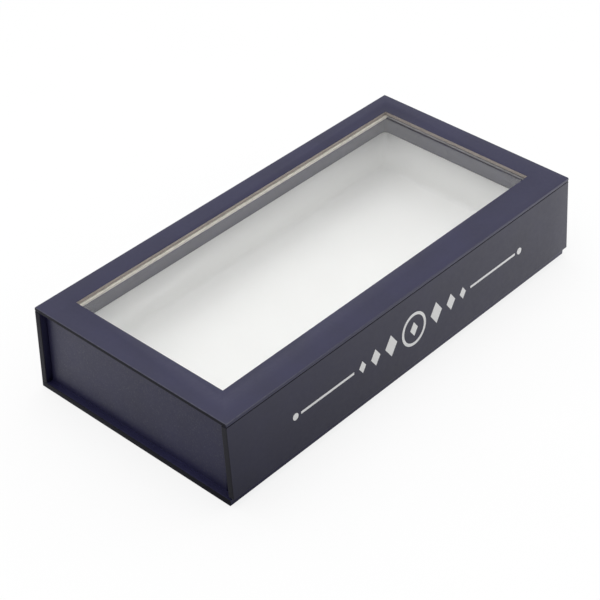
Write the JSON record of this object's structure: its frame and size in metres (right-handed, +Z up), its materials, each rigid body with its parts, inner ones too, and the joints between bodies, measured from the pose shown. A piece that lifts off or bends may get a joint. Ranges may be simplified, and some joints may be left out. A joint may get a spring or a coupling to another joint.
{
  "type": "windowed gift box",
  "caption": "Rigid book-style box with a clear window in its hinged lid, a flap that closes down its front and a lined tray for a bow tie.",
  "frame": {"origin": "on the ground, under the middle of the whole outline", "axes": "+X along the spine, +Y towards the spine, +Z up; the flap closes down the -Y side"},
  "size_m": [0.18, 0.0888, 0.0335],
  "materials": {
    "navy_paper": "matt laminated navy wrap paper",
    "white_lining": "smooth white card",
    "greyboard": "raw greyboard",
    "cream_board": "cream frame board, die cut",
    "kraft_stay": "gummed kraft tape",
    "clear_film": "clear glossy film",
    "clear_tape": "double-sided tape",
    "nickel_magnet": "nickel plated",
    "steel_plate": "plain steel",
    "white_foil": "white stamping foil"
  },
  "bodies": {
    "case_and_tray": {"base_board": "greyboard", "base_wrap": "navy_paper", "base_liner": "navy_paper", "spine_board": "greyboard", "spine_wrap": "navy_paper", "tray_floor_board": "greyboard", "tray_wall_front": "greyboard", "tray_wall_back": "greyboard", "tray_wall_left": "greyboard", "tray_wall_right": "greyboard", "corner_stays": "kraft_stay", "closing_plates": "steel_plate", "tray_wrap": "navy_paper", "lining_floor": "white_lining", "lining_front": "white_lining", "lining_back": "white_lining", "lining_left": "white_lining", "lining_right": "white_lining"},
    "lid": {"lid_frame_board": "greyboard", "lid_wrap": "navy_paper", "window_film": "clear_film", "film_tape": "clear_tape", "lid_inner_frame": "cream_board", "lid_liner": "navy_paper"},
    "flap": {"flap_board": "greyboard", "flap_wrap": "navy_paper", "flap_liner": "navy_paper", "flap_magnets": "nickel_magnet", "foil_ornament": "white_foil"}
  },
  "joints": [
    {"name": "lid_hinge", "type": "hinge", "parent": "case_and_tray", "child": "lid", "pos_m": [0, 0.04436, 0.03215], "axis": [-1, 0, 0], "range_deg": [0, 180]},
    {"name": "flap_hinge", "type": "hinge", "parent": "lid", "child": "flap", "pos_m": [0, -0.04184, 0.03215], "axis": [-1, 0, 0], "range_deg": [-4.5, 90]}
  ]
}
